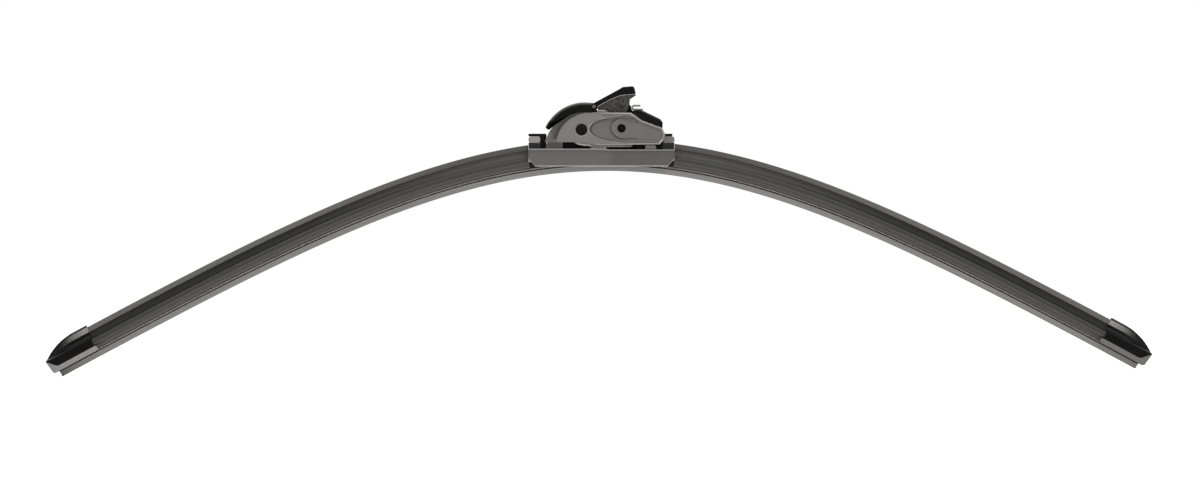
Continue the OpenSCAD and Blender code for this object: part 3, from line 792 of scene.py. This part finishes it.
def cap(side):
    """End cap; its surface also carries the place along the straight blade."""
    arm, way = (-ARM_LEFT, -1) if side == "left" else (ARM_RIGHT, 1)
    end, turn = rail_point(arm), slope(arm)
    over = Vector((math.sin(turn), 0, math.cos(turn)))
    onward = Vector((math.cos(turn), 0, -math.sin(turn))) * way

    def on_facet(face):
        """On the slanted leaf above the skirt."""
        high = (face.calc_center_median() - end).dot(over) + RAIL_MID
        slanted = 0.4 < face.normal.dot(over) < 0.68 and abs(face.normal.y) > 0.6
        return slanted and high > 9.7 * MM

    made = copy_of("end_cap_" + side)
    round_edges(made, 0.3, 3)
    layer = made.loops.layers.uv.new("unbent")
    for face in made.faces:
        for corner in face.loops:
            away = corner.vert.co - end
            corner[layer].uv = (CAP_SHIFT + away.dot(onward), RAIL_MID + away.dot(over))
    mark(made, "facet", on_facet)
    finished(made, "end_cap_%s_moulding" % side, "blade", "end_cap_" + side)


SQUEEGEE = both_sides([
    (0, 0.35), (2.4, 0.85), (2.9, 1.5), (3.4, 1.5), (3.4, 0.4), (4.2, 0.4), (4.2, 2.5), (4.6, 2.9),
    (8.1, 2.9), (8.1, 1.2), (9.1, 1.2), (9.1, 2.3), (9.5, 2.3), (9.7, 2.0)])
SPOILER = both_sides([
    (9.8, 2.3), (9.15, 2.6), (9.15, 5.4), (8.05, 5.4), (8.05, 3.3), (7.05, 3.3),
    (7.05, 6.6), (7.45, 7), (9.75, 7), (10.25, 6.4), (10.55, 2.7), (11.1, 2.2), (12.65, 2),
    (14.1, 2.1), (14.6, 2.6), (14.9, 2.6), (17, 1.1), (17.6, 0.6)])


def squeegee():
    """The rubber's fuller section, along the whole bend."""
    made = straight_bar(SQUEEGEE, -ARM_LEFT, ARM_RIGHT, 0.08 * MM)
    bend(made)
    finished(made, "squeegee_rubber", "blade", "squeegee")


def spoiler(side):
    """A spoiler's fuller section, from the cover into the cap."""
    gap = 0.1 * MM
    if side == "left":
        start, end = -ARM_LEFT + CAP_COVER - CAP_GRIP, crown_place(COVER_LEFT) - gap
    else:
        start, end = crown_place(COVER_RIGHT) + gap, ARM_RIGHT - CAP_COVER + CAP_GRIP
    made = straight_bar(SPOILER, start, end, 0.12 * MM)
    bend(made, end if side == "left" else start)
    finished(made, "spoiler_rubber_" + side, "blade", "spoiler_" + side)


moulding("adapter_body", "adapter", 0.3, [(on_hood, 2.2, 4), (on_wedge_top, 1.4, 4)])
for side in ("front", "rear"):
    moulding("side_plate_" + side, "adapter", 0.12, [(on_plate_border, 0.9, 3)], slope_nose)
hinge_lug("front", -6.2, -4.75)
hinge_lug("rear", 4.75, 6.2)
block_pad()
catch_post()
moulding("saddle_cover", "blade", 0.2, shape=shape_cover)
moulding("latch_lever", "lever", 0.2, [(on_strap, 0.8, 3)])
moulding("pivot_block", "blade", 0.3, shape=reach_towers)
moulding("catch_hook", "adapter", 0.12, shape=thicker)
cap("left")
cap("right")
squeegee()
spoiler("left")
spoiler("right")


# Camera, floor and light

FLOOR_WHITE = (0.8, 0.8, 0.8, 1.0)
FLOOR_GLOW = 0.86
FLOOR_SIZE = 12
SKY_LIGHT = 0.2


def look_at_blade():
    data = bpy.data.cameras.new("camera")
    data.lens = LENS
    data.sensor_width = SENSOR
    camera = bpy.data.objects.new("camera", data)
    bpy.context.scene.collection.objects.link(camera)
    camera.location = PICTURE_CENTRE + Vector((0, -PICTURE_WIDTH * LENS / SENSOR, 0))
    camera.rotation_euler = (math.radians(90), 0, 0)
    data.clip_start = 0.05
    data.clip_end = 60
    bpy.context.scene.camera = camera


def floor_white():
    """Matt white that keeps its shadows and shows a little lighter than it lights."""
    material = bpy.data.materials.new("floor_white")
    paint = Nodes(material)
    matt = paint.node("ShaderNodeBsdfDiffuse", None, Color=FLOOR_WHITE)
    glow = paint.node("ShaderNodeEmission", None, Color=WHITE, Strength=FLOOR_GLOW)
    both = paint.node("ShaderNodeAddShader", None, matt.outputs[0], glow.outputs[0])
    pick = paint.node("ShaderNodeMixShader", None, paint.looked_at(), matt.outputs[0],
                      both.outputs[0])
    paint.node("ShaderNodeOutputMaterial", None, pick.outputs[0])
    return material


def pale_floor(height):
    made = bmesh.new()
    bmesh.ops.create_grid(made, x_segments=1, y_segments=1, size=FLOOR_SIZE)
    bmesh.ops.translate(made, vec=(0, 0, height), verts=made.verts)
    data = bpy.data.meshes.new("floor")
    made.to_mesh(data)
    made.free()
    data.materials.append(floor_white())
    floor = bpy.data.objects.new("floor", data)
    bpy.context.scene.collection.objects.link(floor)


def studio_sky(level):
    """White where it is looked at, and of that level as a light."""
    world = bpy.data.worlds.new("studio")
    bpy.context.scene.world = world
    sky = Nodes(world)
    strength = sky.node("ShaderNodeMapRange", None, sky.looked_at(), 0.0, 1.0, level, 1.0)
    back = sky.node("ShaderNodeBackground", None, Color=WHITE, Strength=strength.outputs[0])
    sky.node("ShaderNodeOutputWorld", None, back.outputs[0])


def soft_lamp(name, place, size, power):
    """A lamp with a face of that size in metres, aimed at the blade."""
    data = bpy.data.lights.new(name, "AREA")
    data.shape = "RECTANGLE"
    data.size, data.size_y = size
    data.energy = power
    lamp = bpy.data.objects.new(name, data)
    bpy.context.scene.collection.objects.link(lamp)
    lamp.location = Vector(place)
    aim = PICTURE_CENTRE - lamp.location
    lamp.rotation_euler = aim.to_track_quat("-Z", "Y").to_euler()


look_at_blade()
pale_floor(solid_box[0].z)
studio_sky(SKY_LIGHT)
soft_lamp("top_lamp", place=(0.0, -0.35, 1.2), size=(2.8, 0.6), power=26)
soft_lamp("front_lamp", place=(0.6, -1.6, 0.8), size=(0.9, 0.9), power=6)
bpy.context.scene.view_settings.view_transform = "Standard"
